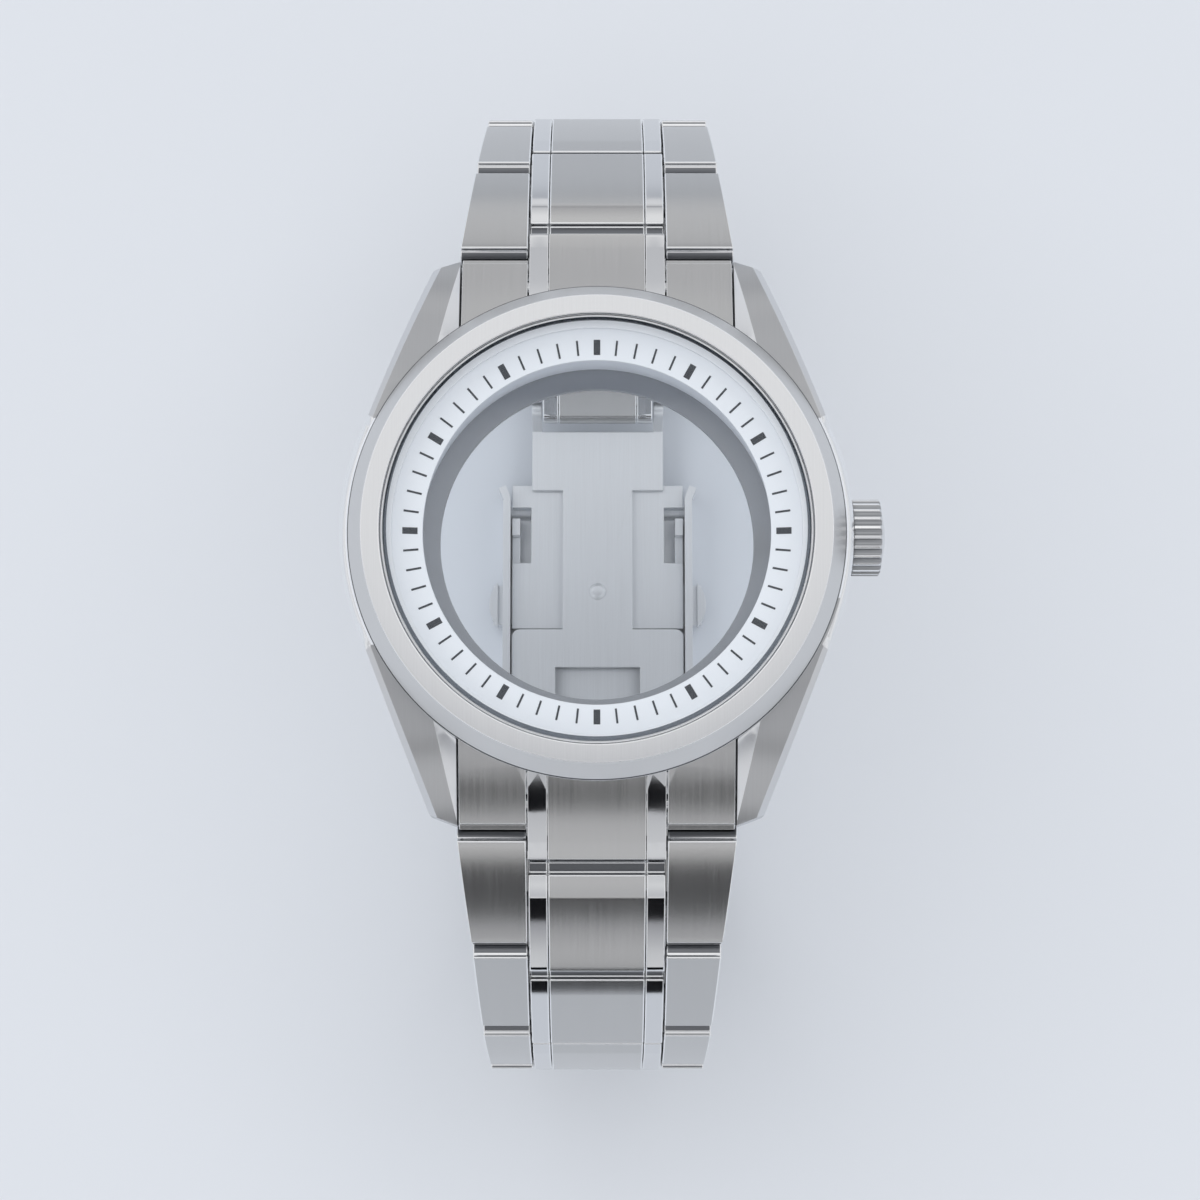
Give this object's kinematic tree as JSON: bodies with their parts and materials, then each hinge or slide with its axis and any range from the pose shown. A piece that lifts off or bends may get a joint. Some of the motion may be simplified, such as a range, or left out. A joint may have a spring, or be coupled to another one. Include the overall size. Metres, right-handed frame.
{
  "type": "empty watch case with bracelet",
  "caption": "Empty round steel watch case with crystal, chapter ring, screw-down window back, crown, three-piece-link bracelet and folding clasp; takes a dial movement.",
  "frame": {"origin": "on the case axis, in the plane that the dial is pushed against (the ledge under the chapter ring)", "axes": "+X to 3 o'clock and the crown, +Y to 12 o'clock, +Z out through the crystal"},
  "size_m": [0.0431, 0.085, 0.0715],
  "materials": {
    "case_steel": "brushed, with polished bevels",
    "bezel_steel": "brushed flat, polished bevel",
    "back_steel": "satin",
    "crown_steel": "polished, fluted",
    "polished_steel": "polished",
    "link_brushed": "brushed along the bracelet",
    "link_polished": "mirror polished",
    "clasp_brushed": "brushed",
    "blade_steel": "satin sheet",
    "crystal_glass": "clear, polished",
    "back_glass": "clear, polished",
    "white_gasket": "translucent nylon",
    "chapter_white": "satin white paint",
    "mark_grey": "printed",
    "black_rubber": "matte"
  },
  "bodies": {
    "case": {"case_middle": "case_steel", "bezel": "bezel_steel", "crystal": "crystal_glass", "crystal_gasket": "white_gasket", "chapter_ring": "chapter_white", "minute_marks": "mark_grey", "caseback_gasket": "black_rubber", "crown_tube": "polished_steel", "lug_spring_bars": "polished_steel", "end_link_12": "link_brushed", "end_link_6": "link_brushed"},
    "case_back": {"caseback_ring": "back_steel", "caseback_glass": "back_glass", "caseback_glass_gasket": "white_gasket"},
    "crown_seal": {"crown_gasket": "black_rubber"},
    "crown": {"crown": "crown_steel"},
    "link_12_1": {"outer_links_12_1": "link_brushed", "centre_link_12_1": "link_brushed"},
    "link_12_2": {"outer_links_12_2": "link_brushed", "centre_link_12_2": "link_brushed"},
    "link_12_3": {"outer_links_12_3": "link_brushed", "centre_link_12_3": "link_brushed"},
    "link_12_4": {"outer_links_12_4": "link_brushed", "centre_link_12_4": "link_brushed"},
    "link_12_5": {"outer_links_12_5": "link_brushed", "centre_link_12_5": "link_brushed"},
    "link_12_6": {"outer_links_12_6": "link_brushed", "centre_link_12_6": "link_brushed"},
    "link_12_7": {"outer_links_12_7": "link_brushed", "centre_link_12_7": "link_brushed", "clasp_spring_bar_12": "polished_steel"},
    "link_6_1": {"outer_links_6_1": "link_brushed", "centre_link_6_1": "link_brushed"},
    "link_6_2": {"outer_links_6_2": "link_brushed", "centre_link_6_2": "link_brushed"},
    "link_6_3": {"outer_links_6_3": "link_brushed", "centre_link_6_3": "link_brushed"},
    "link_6_4": {"outer_links_6_4": "link_brushed", "centre_link_6_4": "link_brushed"},
    "link_6_5": {"outer_links_6_5": "link_brushed", "centre_link_6_5": "link_brushed"},
    "link_6_6": {"outer_links_6_6": "link_brushed", "centre_link_6_6": "link_brushed"},
    "link_6_7": {"outer_links_6_7": "link_brushed", "centre_link_6_7": "link_brushed"},
    "clasp_cover": {"clasp_cover": "clasp_brushed", "clasp_spring_bar_6": "polished_steel", "cover_hinge_pin": "polished_steel"},
    "middle_blade": {"middle_blade": "blade_steel", "blade_hinge_pin": "polished_steel"},
    "tongue_blade": {"tongue_blade": "blade_steel", "catch_plate": "blade_steel", "blade_rivet": "polished_steel"},
    "push_button_left": {"push_button_left": "clasp_brushed"},
    "push_button_right": {"push_button_right": "clasp_brushed"}
  },
  "joints": [
    {"name": "case_back_off", "type": "slide", "parent": "case", "child": "case_back", "axis": [0, 0, -1], "range_m": [0, 0.015]},
    {"name": "crown_pull", "type": "slide", "parent": "case", "child": "crown_seal", "axis": [1, 0, 0], "range_m": [0, 0.0008]},
    {"name": "crown_turn", "type": "hinge", "parent": "crown_seal", "child": "crown", "pos_m": [0.02036, 0, -0.0031], "axis": [1, 0, 0], "continuous": true},
    {"name": "link_12_1_turn", "type": "hinge", "parent": "case", "child": "link_12_1", "pos_m": [0, 0.0241, -0.00605], "axis": [1, 0, 0], "range_deg": [0, 20]},
    {"name": "link_12_2_turn", "type": "hinge", "parent": "link_12_1", "child": "link_12_2", "pos_m": [0, 0.03263, -0.01267], "axis": [1, 0, 0], "range_deg": [0, 20]},
    {"name": "link_12_3_turn", "type": "hinge", "parent": "link_12_2", "child": "link_12_3", "pos_m": [0, 0.03852, -0.02173], "axis": [1, 0, 0], "range_deg": [0, 20]},
    {"name": "link_12_4_turn", "type": "hinge", "parent": "link_12_3", "child": "link_12_4", "pos_m": [0, 0.04109, -0.03222], "axis": [1, 0, 0], "range_deg": [0, 20]},
    {"name": "link_12_5_turn", "type": "hinge", "parent": "link_12_4", "child": "link_12_5", "pos_m": [0, 0.04008, -0.04297], "axis": [1, 0, 0], "range_deg": [0, 20]},
    {"name": "link_12_6_turn", "type": "hinge", "parent": "link_12_5", "child": "link_12_6", "pos_m": [0, 0.03558, -0.05279], "axis": [1, 0, 0], "range_deg": [0, 20]},
    {"name": "link_12_7_turn", "type": "hinge", "parent": "link_12_6", "child": "link_12_7", "pos_m": [0, 0.0281, -0.06058], "axis": [1, 0, 0], "range_deg": [0, 20]},
    {"name": "link_6_1_turn", "type": "hinge", "parent": "case", "child": "link_6_1", "pos_m": [0, -0.0241, -0.00605], "axis": [-1, 0, 0], "range_deg": [0, 20]},
    {"name": "link_6_2_turn", "type": "hinge", "parent": "link_6_1", "child": "link_6_2", "pos_m": [0, -0.03263, -0.01267], "axis": [-1, 0, 0], "range_deg": [0, 20]},
    {"name": "link_6_3_turn", "type": "hinge", "parent": "link_6_2", "child": "link_6_3", "pos_m": [0, -0.03852, -0.02173], "axis": [-1, 0, 0], "range_deg": [0, 20]},
    {"name": "link_6_4_turn", "type": "hinge", "parent": "link_6_3", "child": "link_6_4", "pos_m": [0, -0.04109, -0.03222], "axis": [-1, 0, 0], "range_deg": [0, 20]},
    {"name": "link_6_5_turn", "type": "hinge", "parent": "link_6_4", "child": "link_6_5", "pos_m": [0, -0.04008, -0.04297], "axis": [-1, 0, 0], "range_deg": [0, 20]},
    {"name": "link_6_6_turn", "type": "hinge", "parent": "link_6_5", "child": "link_6_6", "pos_m": [0, -0.03558, -0.05279], "axis": [-1, 0, 0], "range_deg": [0, 20]},
    {"name": "link_6_7_turn", "type": "hinge", "parent": "link_6_6", "child": "link_6_7", "pos_m": [0, -0.0281, -0.06058], "axis": [-1, 0, 0], "range_deg": [0, 20]},
    {"name": "clasp_swivel", "type": "hinge", "parent": "link_6_7", "child": "clasp_cover", "pos_m": [0, -0.01848, -0.06549], "axis": [-1, 0, 0], "range_deg": [0, 60]},
    {"name": "cover_open", "type": "hinge", "parent": "clasp_cover", "child": "middle_blade", "pos_m": [0, 0.0126, -0.06724], "axis": [-1, 0, 0], "range_deg": [0, 130]},
    {"name": "blade_open", "type": "hinge", "parent": "middle_blade", "child": "tongue_blade", "pos_m": [0, -0.014, -0.06584], "axis": [1, 0, 0], "range_deg": [0, 120]},
    {"name": "button_left_press", "type": "slide", "parent": "clasp_cover", "child": "push_button_left", "axis": [1, 0, 0], "range_m": [0, 0.0005], "stiffness_N_per_m": 400},
    {"name": "button_right_press", "type": "slide", "parent": "clasp_cover", "child": "push_button_right", "axis": [-1, 0, 0], "range_m": [0, 0.0005], "stiffness_N_per_m": 400}
  ]
}
